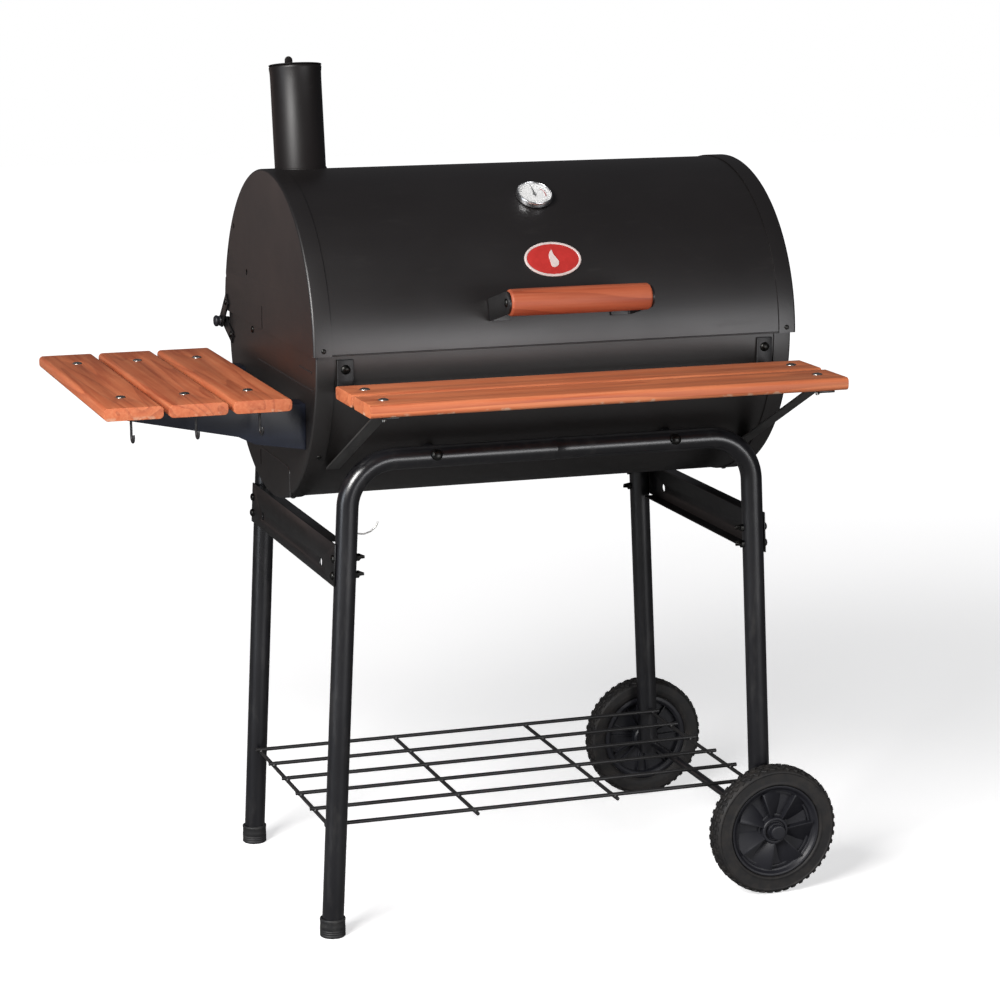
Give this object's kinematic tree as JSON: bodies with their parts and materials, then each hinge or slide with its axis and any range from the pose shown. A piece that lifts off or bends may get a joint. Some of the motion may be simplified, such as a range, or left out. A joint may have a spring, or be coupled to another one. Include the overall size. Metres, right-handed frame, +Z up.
{
  "type": "offset smoker",
  "caption": "Barrel charcoal smoker on a wheeled tube cart, with a hinged lid, leaning chimney with swivel damper cap, cedar side and front shelves, wire rack and lifting charcoal grate.",
  "frame": {"origin": "on the floor, under the middle of the bounding box", "axes": "+X along the barrel towards the wheels, +Y to the back where the lid hinges are, +Z up"},
  "size_m": [1.1112, 0.7684, 1.2636],
  "materials": {
    "lid_paint": "satin black stove paint",
    "drum_paint": "satin black stove paint, a little dustier",
    "tube_paint": "gloss black powder coat",
    "bracket_paint": "satin black powder coat",
    "cedar": "red-orange stained and oiled softwood",
    "zinc": "bright zinc plate",
    "rack_wire": "black painted wire",
    "gauge_chrome": "polished bezel",
    "needle_red": "red pointer",
    "gauge_glass": "clear cover",
    "badge_enamel": "red enamel with a pale rim",
    "cast_iron": "seasoned cast iron",
    "tyre_rubber": "moulded small-block tread",
    "foot_rubber": "moulded cap",
    "wheel_plastic": "moulded wheel"
  },
  "bodies": {
    "cart": {"axle": "tube_paint", "bottom_rack": "rack_wire", "cooking_grate_1": "cast_iron", "cooking_grate_2": "cast_iron", "cooking_grate_3": "cast_iron", "cooking_grate_4": "cast_iron", "drum_end_left": "drum_paint", "drum_end_right": "drum_paint", "drum_hinge_lug_left": "bracket_paint", "drum_hinge_lug_right": "bracket_paint", "drum_shell": "drum_paint", "foot_cap_back": "foot_rubber", "foot_cap_front": "foot_rubber", "front_shelf_arm_left": "bracket_paint", "front_shelf_arm_right": "bracket_paint", "front_shelf_board_1": "cedar", "front_shelf_board_2": "cedar", "front_shelf_strut_left": "bracket_paint", "front_shelf_strut_right": "bracket_paint", "grate_ladder_left": "bracket_paint", "grate_ladder_right": "bracket_paint", "grate_ledge_back": "bracket_paint", "grate_ledge_front": "bracket_paint", "hinge_bolt_left": "zinc", "hinge_bolt_right": "zinc", "leg_back_left": "tube_paint", "leg_back_right": "tube_paint", "leg_front_left": "tube_paint", "leg_front_right": "tube_paint", "side_brace_left": "tube_paint", "side_brace_right": "tube_paint", "side_shelf_board_1": "cedar", "side_shelf_board_2": "cedar", "side_shelf_board_3": "cedar", "side_shelf_gusset_back": "bracket_paint", "side_shelf_gusset_front": "bracket_paint", "tool_hook_1": "rack_wire", "tool_hook_2": "rack_wire", "tool_hook_3": "rack_wire"},
    "lid": {"lid_shell": "lid_paint", "lid_end_left": "lid_paint", "lid_end_right": "lid_paint", "lid_hinge_lug_left": "bracket_paint", "lid_hinge_lug_right": "bracket_paint", "chimney": "lid_paint", "gauge_case": "gauge_chrome", "gauge_lens": "gauge_glass", "badge_plate": "badge_enamel", "handle_grip": "cedar", "handle_bracket_left": "bracket_paint", "handle_bracket_right": "bracket_paint"},
    "damper": {"damper_cap": "lid_paint"},
    "needle": {"gauge_needle": "needle_red"},
    "wheel_pair_front": {"tyre_front": "tyre_rubber", "wheel_front": "wheel_plastic"},
    "wheel_pair_back": {"tyre_back": "tyre_rubber", "wheel_back": "wheel_plastic"},
    "charcoal_grate": {"fire_grate": "cast_iron"},
    "shutter": {"vent_shutter": "drum_paint"}
  },
  "joints": [
    {"name": "lid_hinge", "type": "hinge", "parent": "cart", "child": "lid", "pos_m": [0.11037, 0.3668, 0.844], "axis": [-1, 0, 0], "range_deg": [0, 100]},
    {"name": "damper_swivel", "type": "hinge", "parent": "lid", "child": "damper", "pos_m": [-0.17233, 0.15217, 1.25054], "axis": [0, 0.1495, 0.9888], "range_deg": [0, 120]},
    {"name": "gauge_needle_turn", "type": "hinge", "parent": "lid", "child": "needle", "pos_m": [0.11037, -0.04949, 1.07155], "axis": [0, -0.5191, 0.8547], "range_deg": [-135, 135], "stiffness_Nm_per_rad": 0.002},
    {"name": "wheel_front_roll", "type": "hinge", "parent": "cart", "child": "wheel_pair_front", "pos_m": [0.45463, -0.1732, 0.101], "axis": [0, 1, 0], "continuous": true},
    {"name": "wheel_back_roll", "type": "hinge", "parent": "cart", "child": "wheel_pair_back", "pos_m": [0.45463, 0.3588, 0.101], "axis": [0, 1, 0], "continuous": true},
    {"name": "charcoal_grate_lift", "type": "slide", "parent": "cart", "child": "charcoal_grate", "axis": [0, 0, 1], "range_m": [0, 0.05]},
    {"name": "vent_shutter_turn", "type": "hinge", "parent": "cart", "child": "shutter", "pos_m": [0.47537, -0.0172, 0.752], "axis": [1, 0, 0], "range_deg": [0, 60]}
  ]
}
